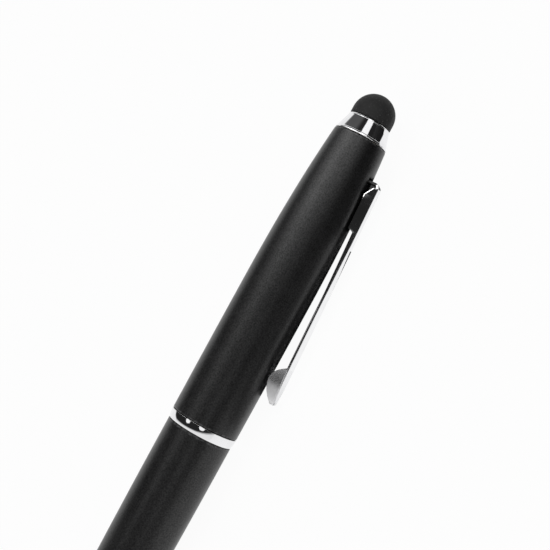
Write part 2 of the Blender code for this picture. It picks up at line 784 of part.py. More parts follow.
def clip_stations():
    """Sections of the strip from the tongue's inner end to the clip's tip.

    Each holds the outer face's (radius, height), the face's normal angle, the half width at the face, the
    half width at the flanges' free edges, and the flanges' depth.
    """
    strip = CLIP_SHEET + CLIP_STRIP_EDGE
    root = CLIP_ROOT_HALF_WIDTH
    arm_radius, arm_height = clip_arm_start()
    arm_length = CLIP_LENGTH - (tongue_face - arm_height)
    centre_radius = arm_radius - CLIP_BEND * math.cos(CLIP_SPLAY)
    centre_height = tongue_face - CLIP_BEND
    quarter = math.pi / 2
    stations = [((neck_bore - TONGUE_REACH, tongue_face), quarter, root, root, strip)]
    for angle in steps(quarter, CLIP_SPLAY, CLIP_BEND_STEPS):
        place = (centre_radius + CLIP_BEND * math.cos(angle), centre_height + CLIP_BEND * math.sin(angle))
        stations.append((place, angle, root, root, strip))
    fin_start = arm_length - CLIP_FIN_LENGTH
    root_end = CLIP_ROOT_LENGTH
    heel_end = root_end + CLIP_ROOT_HEEL
    distances = steps(0.0, CLIP_ROOT_SLANT, CLIP_ROOT_STEPS)[1:]
    distances += steps(CLIP_ROOT_SLANT, root_end, CLIP_ROOT_STEPS)[1:]
    distances += steps(heel_end, fin_start, CLIP_ARM_STEPS)
    turns = steps(0.0, math.pi, CLIP_FIN_STEPS)[1:]
    distances += [fin_start + CLIP_FIN_LENGTH * (1 - math.cos(turn)) / 2 for turn in turns]
    for distance in distances:
        face = arm_radius + distance * math.sin(CLIP_SPLAY)
        height = arm_height - distance * math.cos(CLIP_SPLAY)
        half_width = clip_half_width(distance, arm_length)
        foot = half_width
        depth = CLIP_FLANGE
        if distance <= root_end:
            share = min(1.0, distance / CLIP_ROOT_SLANT)
            depth = strip + (clip_reach_to_barrel(face, height, half_width) - strip) * share
        elif distance > fin_start:
            along = 2 * (distance - fin_start) / CLIP_FIN_LENGTH - 1
            swell = clip_fin_swell(along)
            foot = half_width * (1 - (1 - CLIP_FIN_PINCH) * swell)
            foot = max(foot, strip)
            depth += (clip_reach_to_barrel(face, height, foot) - depth) * swell
        stations.append(((face, height), CLIP_SPLAY, half_width, foot, depth))
    return stations


def clip_section(station, origin):
    """One section of the folded strip as a closed loop: outer face, two folds, two flanges, inner face."""
    (radius, height), angle, half_width, foot, depth = station
    outward = Vector((math.cos(angle), 0.0, math.sin(angle)))
    across = Vector((0.0, 1.0, 0.0))
    start = Vector((radius, 0.0, height)) - origin
    fold = min(CLIP_FOLD, CLIP_FOLD_LIMIT * half_width, CLIP_FOLD_LIMIT * depth)
    corner = arc((half_width - fold, fold), fold, 0, -90, CLIP_FOLD_STEPS)
    half = [(foot, depth)] + corner
    inner = [(half_width - CLIP_SHEET, CLIP_SHEET), (foot - CLIP_SHEET, depth)]
    loop = half + [(-y, z) for y, z in reversed(half)]
    loop += [(-y, z) for y, z in reversed(inner)] + inner
    return [start + across * y - outward * inward for y, inward in loop]


def make_pocket_clip(parent, pivot):
    shape = bmesh.new()
    lofted(shape, [clip_section(station, pivot) for station in clip_stations()])
    piece("pocket_clip", mesh_from("pocket_clip", shape), chrome(), parent)


def resting_roll():
    """How far below the horizontal the clip points when the belly and the clip both touch the table."""
    rolls = []
    for (radius, _), _, half_width, _, _ in clip_stations():
        reach = math.hypot(radius, half_width)
        if reach > belly_radius:
            rolls.append(math.asin(belly_radius / reach) - math.atan2(half_width, radius))
    return min(rolls)


def pen_frame():
    """The pen's place: its axis level above the table, mid-length and mid-width over the world's origin."""
    roll = resting_roll()
    clip_side = max(s[0][0] * math.cos(roll) + s[2] * math.sin(roll) for s in clip_stations())
    turn = Matrix(
        (
            (0.0, 0.0, 1.0),
            (-math.cos(roll), math.sin(roll), 0.0),
            (-math.sin(roll), -math.cos(roll), 0.0),
        )
    )
    middle = Vector((-dome_end / 2, (clip_side - belly_radius) / 2, belly_radius))
    return Matrix.Translation(middle) @ turn.to_4x4()


def main():
    clear_scene()
    pen = axis_empty("pen", None, (0, 0, 0))
    pen.matrix_world = pen_frame()
    upper = axis_empty("upper_turning_axis", pen, (0, 0, 0))
    refill = axis_empty("refill_sliding_axis", pen, (0, 0, 0))
    ball = axis_empty("ball_centre", refill, (0, 0, ball_height))
    pivot = Vector((upper_radius(tongue_face), 0.0, tongue_face - CLIP_SHEET / 2))
    clip = axis_empty("clip_bending_axis", upper, pivot)
    for make in (
        make_nose_cone,
        make_lower_barrel,
        make_thread_bush,
        make_guide_sleeve,
        make_centre_ring,
        make_return_spring,
    ):
        make(pen)
    for make in (
        make_upper_barrel,
        make_cam_sleeve,
        make_turning_bush,
        make_friction_ring,
        make_clip_retainer,
        make_stylus_socket,
        make_stylus_collar,
        make_stylus_stud,
        make_stylus_dome,
    ):
        make(upper)
    for make in (
        make_plunger,
        make_plunger_pin,
        make_refill_plug,
        make_refill_tube,
        make_ink_column,
        make_refill_nose,
        make_tip_tube,
    ):
        make(refill)
    make_pocket_clip(clip, pivot)
    make_writing_ball(ball)


main()
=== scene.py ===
import json
import math

import bmesh
import bpy
import numpy as np
from mathutils import Matrix, Vector

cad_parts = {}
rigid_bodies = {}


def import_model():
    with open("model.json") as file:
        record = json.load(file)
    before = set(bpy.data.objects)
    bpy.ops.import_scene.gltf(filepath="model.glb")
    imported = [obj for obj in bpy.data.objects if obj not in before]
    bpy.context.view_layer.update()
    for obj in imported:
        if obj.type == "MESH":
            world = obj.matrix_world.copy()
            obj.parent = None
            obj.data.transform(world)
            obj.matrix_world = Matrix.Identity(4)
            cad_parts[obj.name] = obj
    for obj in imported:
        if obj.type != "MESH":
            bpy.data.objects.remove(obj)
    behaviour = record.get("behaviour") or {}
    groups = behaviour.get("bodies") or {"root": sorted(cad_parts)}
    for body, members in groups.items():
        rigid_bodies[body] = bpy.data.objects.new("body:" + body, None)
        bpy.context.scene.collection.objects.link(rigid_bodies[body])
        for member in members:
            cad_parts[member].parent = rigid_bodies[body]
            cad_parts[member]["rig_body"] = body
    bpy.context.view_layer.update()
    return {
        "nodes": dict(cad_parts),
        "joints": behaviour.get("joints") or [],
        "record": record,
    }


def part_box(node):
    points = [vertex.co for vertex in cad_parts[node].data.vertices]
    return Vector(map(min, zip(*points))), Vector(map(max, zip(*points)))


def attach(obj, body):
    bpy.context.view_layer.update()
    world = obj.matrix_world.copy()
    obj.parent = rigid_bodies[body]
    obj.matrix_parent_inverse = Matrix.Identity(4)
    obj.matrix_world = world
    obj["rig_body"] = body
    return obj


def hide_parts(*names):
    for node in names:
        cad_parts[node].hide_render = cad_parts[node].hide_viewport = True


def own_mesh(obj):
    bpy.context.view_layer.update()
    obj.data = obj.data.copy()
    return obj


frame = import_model()
print("frame:", len(frame["nodes"]), "nodes")

# The pen's own directions, from its joints: along runs from the writing end to the soft tip,
# out points at the clip, and side lies across the clip.
joints = {joint["name"]: joint for joint in frame["joints"]}
along = np.array([1.0, 0.0, 0.0])
side = -np.array(joints["clip_flex"]["axis"], float)
out = np.cross(side, along)
axisPoint = np.array(joints["barrel_twist"]["pos_m"], float) * (1.0 - along)

sameGap = 1e-8  # outline points nearer than this are one point
mergeGap = 1e-7  # and so are a mesh's points nearer than this
sharpFrom = math.radians(38)  # an edge that turns more than this looks sharp


def span(node):  # where a node starts and ends along the pen
    low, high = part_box(node)
    return low.x, high.x


def ramp(value, start, end):  # 0 up to start, 1 from end on, straight between them
    return np.clip((value - start) / (end - start), 0.0, 1.0)


def blend(first, second, share):  # first where share is 0, second where it is 1
    return first + (second - first) * share


def startFinish(name, look):
    finish = bpy.data.materials.new(name)
    finish.use_nodes = True
    tree = finish.node_tree
    shader = tree.nodes["Principled BSDF"]
    shader.inputs["Base Color"].default_value = (*look["colour"], 1.0)
    shader.inputs["Roughness"].default_value = look["roughness"]
    shader.inputs["Metallic"].default_value = look.get("metallic", 0.0)
    shader.inputs["Specular IOR Level"].default_value = look.get("specular", 0.5)
    return finish, tree, shader


def feed(tree, value, shader, socket):
    tree.links.new(value, shader.inputs[socket])


def grainOf(tree, size, detail, stretch=(1.0, 1.0, 1.0)):  # noise with grains about size metres across
    coords = tree.nodes.new("ShaderNodeTexCoord")
    mapping = tree.nodes.new("ShaderNodeMapping")
    mapping.inputs["Scale"].default_value = stretch
    noise = tree.nodes.new("ShaderNodeTexNoise")
    noise.inputs["Scale"].default_value = 1.0 / size
    noise.inputs["Detail"].default_value = detail
    tree.links.new(coords.outputs["Object"], mapping.inputs["Vector"])
    tree.links.new(mapping.outputs["Vector"], noise.inputs["Vector"])
    return noise.outputs[0]


def ranged(tree, value, across=(0.0, 1.0), onto=(0.0, 1.0)):  # across becomes onto, level past both ends
    node = tree.nodes.new("ShaderNodeMapRange")
    sockets = ("From Min", "From Max", "To Min", "To Max")
    for socket, number in zip(sockets, (*across, *onto)):
        node.inputs[socket].default_value = number
    tree.links.new(value, node.inputs["Value"])
    return node.outputs["Result"]


def patches(tree, size, detail, across):  # noise spread so that across fills 0 to 1
    return ranged(tree, grainOf(tree, size, detail), across)


def maths(tree, operation, first, *others):  # values joined one after another by the operation
    for second in others:
        node = tree.nodes.new("ShaderNodeMath")
        node.operation = operation
        for socket, value in zip(node.inputs, (first, second)):
            if isinstance(value, (int, float)):
                socket.default_value = value
            else:
                tree.links.new(value, socket)
        first = node.outputs[0]
    return first


def mixedColour(tree, factor, first, second):
    node = tree.nodes.new("ShaderNodeMix")
    node.data_type = "RGBA"
    tree.links.new(factor, node.inputs[0])
    for index, value in ((6, first), (7, second)):  # the mix node's two colour sockets
        if isinstance(value, tuple):
            node.inputs[index].default_value = (*value, 1.0)
        else:
            tree.links.new(value, node.inputs[index])
    return node.outputs[2]


def raised(tree, height, depth, under=None):  # bump of that depth in metres, laid over another one
    node = tree.nodes.new("ShaderNodeBump")
    node.inputs["Distance"].default_value = depth
    tree.links.new(height, node.inputs["Height"])
    if under is not None:
        tree.links.new(under, node.inputs["Normal"])
    return node.outputs["Normal"]


def maskOf(tree, name):  # one of the masks that makePiece writes, 0 on a piece without it
    node = tree.nodes.new("ShaderNodeAttribute")
    node.attribute_name = name
    return node.outputs["Fac"]


def wornEdges(tree, look):  # edge mask broken up by noise, 1 where the finish is rubbed
    size, detail, start, fade = look["wear"]
    rubbed = maths(tree, "MULTIPLY", maskOf(tree, "edgeWear"), grainOf(tree, size, detail))
    return ranged(tree, rubbed, (start, start + fade))


# In the finishes a noise is (grain in metres, detail) with perhaps its stretch along x, y and z. Patches add the
# range that fills 0 to 1, wear adds where it starts and how far it fades, and peel adds its depth in metres.
lacquer = {
    "colour": (0.005, 0.005, 0.0052), "roughness": 0.42, "specular": 0.5,
    "dark": (0.0032, 0.0032, 0.0034), "light": (0.0066, 0.0066, 0.0069), "bare": (0.06, 0.06, 0.062),
    "blotch": (0.004, 3.0, (0.35, 0.65)), "blotchRough": (0.31, 0.35),
    "speck": (0.00022, 1.0, (0.3, 0.7)), "speckRough": (0.0, 0.05), "speckShine": (0.34, 0.66),
    "wear": (0.0006, 4.0, 0.42, 0.2),
    "peel": ((0.0009, 2.0, 0.0000025), (0.0003, 1.0, 0.0000018), (0.00012, 1.0, 0.0000022)),
}


def matteLacquer():  # fine specks over broad blotches, orange peel of three sizes, rubbed pale at the edges
    look = lacquer
    finish, tree, shader = startFinish("matteLacquer", look)
    blotch = patches(tree, *look["blotch"])
    speck = patches(tree, *look["speck"])
    tone = mixedColour(tree, speck, look["dark"], look["light"])
    feed(tree, mixedColour(tree, wornEdges(tree, look), tone, look["bare"]), shader, "Base Color")
    feed(tree, ranged(tree, speck, onto=look["speckShine"]), shader, "Specular IOR Level")
    soft = maths(tree, "ADD", ranged(tree, blotch, onto=look["blotchRough"]),
                 ranged(tree, speck, onto=look["speckRough"]))
    feed(tree, soft, shader, "Roughness")
    peel = None
    for size, detail, depth in look["peel"]:
        peel = raised(tree, grainOf(tree, size, detail), depth, peel)
    feed(tree, peel, shader, "Normal")
    return finish


chrome = {
    "colour": (0.86, 0.86, 0.87), "roughness": 0.07, "metallic": 1.0,
    "dark": (0.80, 0.80, 0.81), "light": (0.90, 0.90, 0.91), "rubbed": (0.72, 0.71, 0.69),
    # inside: near-black base colour, painted shade for the clip's hidden faces
    "inside": (0.06, 0.06, 0.06), "smear": (0.0035, 4.0), "smearTone": (0.3, 0.7),
    "smearRough": ((0.35, 0.75), (0.04, 0.11)), "wear": (0.0008, 4.0, 0.45, 0.2),
    "rubbedRough": 0.1, "insideRough": 0.4, "satinRough": 0.36,
    "ripple": (0.0005, 2.0), "rippleDepth": 0.000003,
    "polish": (0.00011, 2.0, (1.0, 0.06, 0.06)), "polishDepth": 0.0000004,
}


def brightChrome():  # smeared plate with ripples and fine lines left by the polishing wheel
    look = chrome
    finish, tree, shader = startFinish("brightChrome", look)
    smear = grainOf(tree, *look["smear"])
    worn = wornEdges(tree, look)
    inside = maskOf(tree, "dullInside")  # 1 on faces given painted shade: the clip's root inside, its tongue and ears, darkened where shade falls
    satin = maskOf(tree, "satin")  # 1 where the stamping left a matte face
    tone = mixedColour(tree, ranged(tree, smear, look["smearTone"]), look["dark"], look["light"])
    tone = mixedColour(tree, worn, tone, look["rubbed"])
    # painted shade: where the mask is 1 the base colour turns near-black and the roughness rises
    feed(tree, mixedColour(tree, inside, tone, look["inside"]), shader, "Base Color")
    dull = maths(tree, "ADD", ranged(tree, smear, *look["smearRough"]),
                 maths(tree, "MULTIPLY", worn, look["rubbedRough"]),
                 maths(tree, "MULTIPLY", inside, look["insideRough"]),
                 maths(tree, "MULTIPLY", satin, look["satinRough"]))
    feed(tree, dull, shader, "Roughness")
    ripple = raised(tree, grainOf(tree, *look["ripple"]), look["rippleDepth"])
    feed(tree, raised(tree, grainOf(tree, *look["polish"]), look["polishDepth"], ripple), shader, "Normal")
    return finish


steel = {
    "colour": (0.62, 0.62, 0.63), "roughness": 0.22, "metallic": 1.0,
    "dark": (0.55, 0.55, 0.56), "light": (0.68, 0.68, 0.69),
    "drawn": (0.00008, 3.0, (0.05, 1.0, 1.0)), "drawnDepth": 0.0000012,
    "cloud": (0.0015, 3.0), "cloudRough": ((0.3, 0.7), (0.15, 0.3)),
}


def brightSteel():  # marks left by drawing the tube or wire, under a cloudy shine
    look = steel
    finish, tree, shader = startFinish("brightSteel", look)
    drawn = grainOf(tree, *look["drawn"])
    feed(tree, mixedColour(tree, drawn, look["dark"], look["light"]), shader, "Base Color")
    feed(tree, ranged(tree, grainOf(tree, *look["cloud"]), *look["cloudRough"]), shader, "Roughness")
    feed(tree, raised(tree, drawn, look["drawnDepth"]), shader, "Normal")
    return finish


rubber = {  # dusty bloom, with lint
    "colour": (0.02, 0.02, 0.02), "roughness": 0.68, "specular": 0.3,
    "drift": (0.0018, 4.0, (0.4, 0.7)), "first": (0.014, 0.014, 0.014), "last": (0.024, 0.024, 0.024),
    "rough": (0.6, 0.76), "lint": (0.0002, 0.0, (0.72, 0.8)), "lintTone": (0.07, 0.07, 0.07),
    "marks": (0.00013, 2.0), "marksDepth": 0.000007,
}
brass = {  # tarnish over lines left by turning
    "colour": (0.72, 0.52, 0.24), "roughness": 0.26, "metallic": 1.0,
    "drift": (0.002, 4.0, (0.4, 0.7)), "first": (0.74, 0.54, 0.25), "last": (0.55, 0.38, 0.17),
    "rough": (0.2, 0.36), "marks": (0.00009, 2.0, (1.0, 0.05, 0.05)), "marksDepth": 0.000002,
}
plastic = {  # flow marks of moulding
    "colour": (0.8, 0.8, 0.78), "roughness": 0.42,
    "drift": (0.003, 3.0, (0.3, 0.7)), "first": (0.76, 0.76, 0.73), "last": (0.83, 0.83, 0.81),
    "rough": (0.36, 0.5), "marks": (0.00015, 2.0), "marksDepth": 0.000003,
}
ink = {  # swirls
    "colour": (0.01, 0.012, 0.05), "roughness": 0.12,
    "drift": (0.002, 5.0, (0.35, 0.65)), "first": (0.006, 0.008, 0.035), "last": (0.014, 0.018, 0.075),
    "rough": (0.08, 0.2),
}


def driftingFinish(name, look):  # colour and roughness drift together with a slow noise, over fine marks
    finish, tree, shader = startFinish(name, look)
    drift = patches(tree, *look["drift"])
    tone = mixedColour(tree, drift, look["first"], look["last"])
    if "lint" in look:
        tone = mixedColour(tree, patches(tree, *look["lint"]), tone, look["lintTone"])
    feed(tree, tone, shader, "Base Color")
    feed(tree, ranged(tree, drift, onto=look["rough"]), shader, "Roughness")
    if "marks" in look:
        feed(tree, raised(tree, grainOf(tree, *look["marks"]), look["marksDepth"]), shader, "Normal")
    return finish


finishes = {
    "black_lacquer": matteLacquer(),
    "chrome": brightChrome(),
    "soft_rubber": driftingFinish("softRubber", rubber),
    "brass": driftingFinish("turnedBrass", brass),
    "steel": brightSteel(),
    "white_plastic": driftingFinish("whitePlastic", plastic),
    "ink": driftingFinish("wetInk", ink),
}
slotOf = {part["node"]: part["material_slot"] for part in frame["record"]["subparts"]}
for nodeName, nodeObject in frame["nodes"].items():
    nodeObject.data.materials.clear()
    nodeObject.data.materials.append(finishes[slotOf[nodeName]])
print("finishes:", len(finishes))


# Cells of a grid of points as quads; a direction that closes runs back to its start.
def gridFaces(rows, columns, closedRows, closedColumns):
    row = np.arange(rows if closedRows else rows - 1)[:, None]
    column = np.arange(columns if closedColumns else columns - 1)[None, :]
    row, column = np.broadcast_arrays(row, column)
    nextRow = (row + 1) % rows
    nextColumn = (column + 1) % columns
    corners = ((row, column), (nextRow, column), (nextRow, nextColumn), (row, nextColumn))
    return np.stack([r * columns + c for r, c in corners], axis=-1)


# Points and quads become a piece that stands for its node; doubles merge, so poles and seams close.
def makePiece(name, node, points, faces, wear, **masks):
    mesh = bpy.data.meshes.new(name)
    mesh.from_pydata(points.reshape(-1, 3).tolist(), [], faces.reshape(-1, 4).tolist())
    for maskName, values in {"edgeWear": wear, **masks}.items():
        mask = mesh.attributes.new(maskName, "FLOAT", "POINT")
        mask.data.foreach_set("value", values.astype(np.float32).ravel())
    shape = bmesh.new()
    shape.from_mesh(mesh)
    bmesh.ops.remove_doubles(shape, verts=shape.verts, dist=mergeGap)
    bmesh.ops.recalc_face_normals(shape, faces=shape.faces)
    shape.to_mesh(mesh)
    shape.free()
    mesh.shade_smooth()
    mesh.set_sharp_from_angle(angle=sharpFrom)
    mesh.materials.append(finishes[slotOf[node]])
    piece = bpy.data.objects.new(name, mesh)
    bpy.context.scene.collection.objects.link(piece)
    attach(piece, frame["nodes"][node]["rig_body"])
    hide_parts(node)
    print("piece:", name, len(mesh.vertices), "points")
    return piece


# Outline with eased corners: rows hold (place along the pen, radius, ease). Each corner becomes a parabola
# between the points one ease away on its two sides, with a holding point past each end so that flats stay flat.
def easedOutline(rows, count=7, hold=1.4):
    rows = np.asarray(rows, float)
    place = rows[:, None, :2]
    ease = rows[:, None, 2:]
    back = np.roll(place, 1, axis=0) - place
    ahead = np.roll(place, -1, axis=0) - place
    back = back / np.maximum(np.linalg.norm(back, axis=2, keepdims=True), sameGap)
    ahead = ahead / np.maximum(np.linalg.norm(ahead, axis=2, keepdims=True), sameGap)
    start = place + back * ease
    end = place + ahead * ease
    t = np.linspace(0.0, 1.0, count)[None, :, None]
    curve = (1 - t) ** 2 * start + 2 * t * (1 - t) * place + t**2 * end
    outline = np.concatenate([place + back * ease * hold, curve, place + ahead * ease * hold], axis=1)
    corner = np.broadcast_to(ease > 0, (len(rows), count + 2, 1)).reshape(-1)
    outline = outline.reshape(-1, 2)
    apart = np.linalg.norm(np.diff(outline, axis=0), axis=1)
    keep = np.concatenate([[True], apart > sameGap])
    return outline[keep], corner[keep]


# How near each outline point lies to an eased corner: the exponential of minus its distance along the outline.
def edgeMask(outline, corner, fade=0.00025):
    apart = np.linalg.norm(np.diff(outline, axis=0), axis=1)
    place = np.concatenate([[0.0], np.cumsum(apart)])
    if not corner.any():
        return np.zeros(len(outline))
    nearest = np.abs(place[:, None] - place[None, corner]).min(axis=1)
    return np.exp(-nearest / fade)


# Turned surface: axis point + place * along + radius * (cos a * out + sin a * side), a once round.
def turnedPoints(outline, angles):
    spoke = np.cos(angles)[:, None] * out + np.sin(angles)[:, None] * side
    return axisPoint + outline[:, 0, None, None] * along + outline[:, 1, None, None] * spoke


def turnedPiece(name, node, rows, facets, closed=True):
    outline, corner = easedOutline(rows)
    angles = np.linspace(0.0, 2 * np.pi, facets, endpoint=False)
    faces = gridFaces(len(outline), facets, closed, True)
    wear = np.repeat(edgeMask(outline, corner), facets)
    return makePiece(name, node, turnedPoints(outline, angles), faces, wear)


def curveRows(x, radius):  # a curved stretch of an outline, with no eased corner
    return np.stack([x, radius, np.zeros_like(x)], axis=1).tolist()


upperBarrel = {
    "foot": 0.005835, "belly": 0.0058995, "bellyAt": 0.0229, "top": 0.00469, "taper": 2.4,
    "bore": 0.00465, "neckBore": 0.00389, "neckLength": 0.0086, "ease": 0.00016,
    "slotHalfWidth": 0.00165, "slotLow": 0.0548, "slotHigh": 0.0558,
    "stepsBelow": 90, "stepsAbove": 12, "facetsAcross": 17, "facetsAround": 160,
}


# Upper barrel's radius: swells as a square to its belly, then narrows as the 2.4th power to its top.
def upperRadius(x):
    spec = upperBarrel
    start, end = span("upper_barrel")
    belly = start + spec["bellyAt"]
    below = (spec["belly"] - spec["foot"]) * ramp(x, belly, start) ** 2
    above = (spec["belly"] - spec["top"]) * ramp(x, belly, end) ** spec["taper"]
    return spec["belly"] - below - above


# The slot is a gap of one cell between four named outline places, outside and inside, walled in between them.
def makeUpperBarrel():
    spec = upperBarrel
    start, end = span("upper_barrel")
    slotLow, slotHigh = spec["slotLow"], spec["slotHigh"]
    below = np.linspace(start, slotLow, spec["stepsBelow"])[1:]
    above = np.linspace(slotHigh, end, spec["stepsAbove"])[:-1]
    step = end - spec["neckLength"]
    rows = [(start, spec["bore"], 0.0), (start, spec["foot"], spec["ease"])]
    rows += curveRows(below, upperRadius(below)) + curveRows(above, upperRadius(above))
    rows += [(end, spec["top"], spec["ease"]), (end, spec["neckBore"], 0.0)]
    rows += [(slotHigh, spec["neckBore"], 0.0), (slotLow, spec["neckBore"], 0.0)]
    rows += [(step, spec["neckBore"], 0.0), (step, spec["bore"], 0.0)]
    outline, corner = easedOutline(rows)
    slotAngle = math.asin(spec["slotHalfWidth"] / upperRadius(np.array(slotLow)))
    across = np.linspace(-slotAngle, slotAngle, spec["facetsAcross"])
    around = np.linspace(slotAngle, 2 * np.pi - slotAngle, spec["facetsAround"])[1:-1]
    angles = np.concatenate([across, around])
    faces = gridFaces(len(outline), len(angles), True, True)
    isOuter = outline[:, 1] > spec["neckBore"] + mergeGap
    atLow = np.abs(outline[:, 0] - slotLow) < mergeGap
    atHigh = np.abs(outline[:, 0] - slotHigh) < mergeGap
    outerLow, outerHigh = np.flatnonzero(atLow & isOuter)[0], np.flatnonzero(atHigh & isOuter)[0]
    innerLow, innerHigh = np.flatnonzero(atLow & ~isOuter)[0], np.flatnonzero(atHigh & ~isOuter)[0]
    gap = np.zeros(faces.shape[:2], bool)
    gap[[outerLow, innerHigh], : len(across) - 1] = True
    index = np.arange(len(outline) * len(angles)).reshape(len(outline), len(angles))
    near, far = np.arange(len(across) - 1), np.arange(1, len(across))
    ends = [np.stack([index[a, near], index[a, far], index[b, far], index[b, near]], axis=1)
            for a, b in ((outerLow, innerLow), (outerHigh, innerHigh))]
    flanks = index[[outerLow, outerHigh, innerHigh, innerLow]][:, [0, len(across) - 1]].T
    allFaces = np.concatenate([faces[~gap], *ends, flanks])
    wear = np.repeat(edgeMask(outline, corner), len(angles))
    return makePiece("upperBarrelShell", "upper_barrel", turnedPoints(outline, angles), allFaces, wear)


lowerBarrel = {
    "front": 0.00475, "rear": 0.00566, "taper": 1.8, "bore": 0.0039, "rearBore": 0.00475,
    "rearBoreLength": 0.01165, "ease": 0.00014, "steps": 70, "facets": 160,
}


# Lower barrel's radius falls from its rear as the 1.8th power of the way to the front.
def makeLowerBarrel():
    spec = lowerBarrel
    start, end = span("lower_barrel")
    x = np.linspace(start, end, spec["steps"])[1:-1]
    radius = blend(spec["rear"], spec["front"], ((end - x) / (end - start)) ** spec["taper"])
    step = end - spec["rearBoreLength"]
    rows = [(start, spec["bore"], 0.0), (start, spec["front"], spec["ease"])] + curveRows(x, radius)
    rows += [(end, spec["rear"], spec["ease"]), (end, spec["rearBore"], 0.0)]
    rows += [(step, spec["rearBore"], 0.0), (step, spec["bore"], 0.0)]
    return turnedPiece("lowerBarrelShell", "lower_barrel", rows, spec["facets"])


centreRing = {
    "top": 0.00588, "rise": 0.0004, "steep": 0.93, "bore": 0.0045, "ease": 0.00003, "steps": 41, "facets": 160,
}


# Ring's radius climbs as most of a quarter ellipse, steep by the lower barrel and level by the upper one.
def makeCentreRing():
    spec = centreRing
    start, end = span("centre_ring")
    t = np.linspace(0.0, 1.0, spec["steps"])
    radius = spec["top"] - spec["rise"] * (1 - np.sqrt(1 - spec["steep"] * (1 - t) ** 2))
    rows = [(start, spec["bore"], 0.0), (start, radius[0], spec["ease"])]
    rows += curveRows(start + (end - start) * t[2:-2], radius[2:-2])  # clear of the eased corners
    rows += [(end, radius[-1], spec["ease"]), (end, spec["bore"], 0.0)]
    return turnedPiece("centreRingBand", "centre_ring", rows, spec["facets"])


noseCone = {
    "mouth": 0.00175, "mouthBore": 0.0013, "base": 0.00475, "bulge": 0.88, "length": 0.014,
    "spigot": 0.00375, "chamber": 0.0031, "passage": 0.0019, "seatAt": 0.0105, "landAt": 0.003,
    "grooveAt": (0.0122, 0.0130), "grooveWidth": 0.0003, "grooveDepth": 0.00009,
    "ease": 0.00012, "boreEase": 0.00005, "spigotEase": 0.0002, "steps": 150, "facets": 128,
}


# Cone's radius grows as the 0.88th power of the height, less two shallow grooves shaped as cosine bells.
def makeNoseCone():
    spec = noseCone
    start, end = span("nose_cone")
    height = np.linspace(0.0, spec["length"], spec["steps"])[2:-2]
    radius = blend(spec["mouth"], spec["base"], (height / spec["length"]) ** spec["bulge"])
    near = np.clip((height[:, None] - np.array(spec["grooveAt"])) / spec["grooveWidth"], -1, 1)
    radius = radius - spec["grooveDepth"] * (0.5 + 0.5 * np.cos(np.pi * near)).sum(axis=1)
    base = start + spec["length"]
    seat = start + spec["seatAt"]
    land = start + spec["landAt"]
    rows = [(start, spec["mouthBore"], spec["boreEase"]), (start, spec["mouth"], spec["ease"])]
    rows += curveRows(start + height, radius)
    rows += [(base, spec["base"], spec["ease"]), (base, spec["spigot"], 0.0)]
    rows += [(end, spec["spigot"], spec["spigotEase"]), (end, spec["chamber"], 0.0)]
    rows += [(seat, spec["chamber"], 0.0), (seat, spec["passage"], 0.0), (land, spec["passage"], 0.0)]
    rows += [(land - spec["passage"] + spec["mouthBore"], spec["mouthBore"], 0.0)]
    return turnedPiece("noseConeShell", "nose_cone", rows, spec["facets"])


stylusCollar = {
    "foot": 0.00469, "rim": 0.00364, "hollow": 0.00326, "lipBore": 0.00291, "lipAt": 0.0018,
    "beadAt": (0.00024, 0.00302), "beadHalf": (0.00018, 0.00012), "beadRise": (0.00005, 0.00003),
    "ease": 0.00006, "steps": 200, "facets": 160,
}


# Collar's radius falls in a straight line from foot to rim, plus a half-round bead near each edge.
def makeStylusCollar():
    spec = stylusCollar
    start, end = span("stylus_collar")
    height = np.linspace(0.0, end - start, spec["steps"])[4:-4]
    radius = blend(spec["foot"], spec["rim"], height / (end - start))
    near = (height[:, None] - np.array(spec["beadAt"])) / np.array(spec["beadHalf"])
    radius = radius + (np.array(spec["beadRise"]) * np.sqrt(np.clip(1 - near**2, 0, 1))).sum(axis=1)
    lip = start + spec["lipAt"]
    rows = [(start, spec["hollow"], 0.0), (start, spec["foot"], spec["ease"])]
    rows += curveRows(start + height, radius)
    rows += [(end, spec["rim"], spec["ease"]), (end, spec["lipBore"], 0.0)]
    rows += [(lip, spec["lipBore"], 0.0), (lip, spec["hollow"], 0.0)]
    return turnedPiece("stylusCollarCone", "stylus_collar", rows, spec["facets"])


stylusDome = {
    "radius": 0.00366, "skirt": 0.00114, "height": 0.0048, "wall": 0.0009, "neck": 0.00276,
    "flange": 0.00311, "flangeHeight": 0.0006, "ease": 0.00022, "steps": 48, "facets": 128,
}


# Dome: a straight skirt, then a quarter ellipse to the pole; the hollow inside is a smaller one.
def makeStylusDome():
    spec = stylusDome
    start, end = span("stylus_dome")
    lip = end - spec["height"]
    crown = spec["height"] - spec["skirt"]
    turn = np.linspace(0.0, np.pi / 2, spec["steps"])
    outer = curveRows(lip + spec["skirt"] + crown * np.sin(turn), spec["radius"] * np.cos(turn))
    inside = spec["radius"] - spec["wall"]
    inner = curveRows(lip + spec["skirt"] + (crown - spec["wall"]) * np.sin(turn), inside * np.cos(turn))
    throat = spec["neck"] - spec["wall"]
    flangeTop = start + spec["flangeHeight"]
    rows = inner[::-1] + [(lip, throat, 0.0), (start, throat, 0.0), (start, spec["flange"], 0.0)]
    rows += [(flangeTop, spec["flange"], 0.0), (flangeTop, spec["neck"], 0.0)]
    rows += [(lip, spec["neck"], 0.0), (lip, spec["radius"], spec["ease"])] + outer
    return turnedPiece("stylusDomeTip", "stylus_dome", rows, spec["facets"], closed=False)


writingTip = {
    "tube": 0.00115, "taper": 0.0022, "lip": 0.00059, "cup": 0.00055, "lipBack": 0.00028, "feed": 0.00025,
    "lipEase": 0.00003, "taperEase": 0.0002, "endEase": 0.0001, "cupSteps": 24, "facets": 96,
    "ball": 0.0005, "ballSteps": 40, "ballFacets": 64,
}


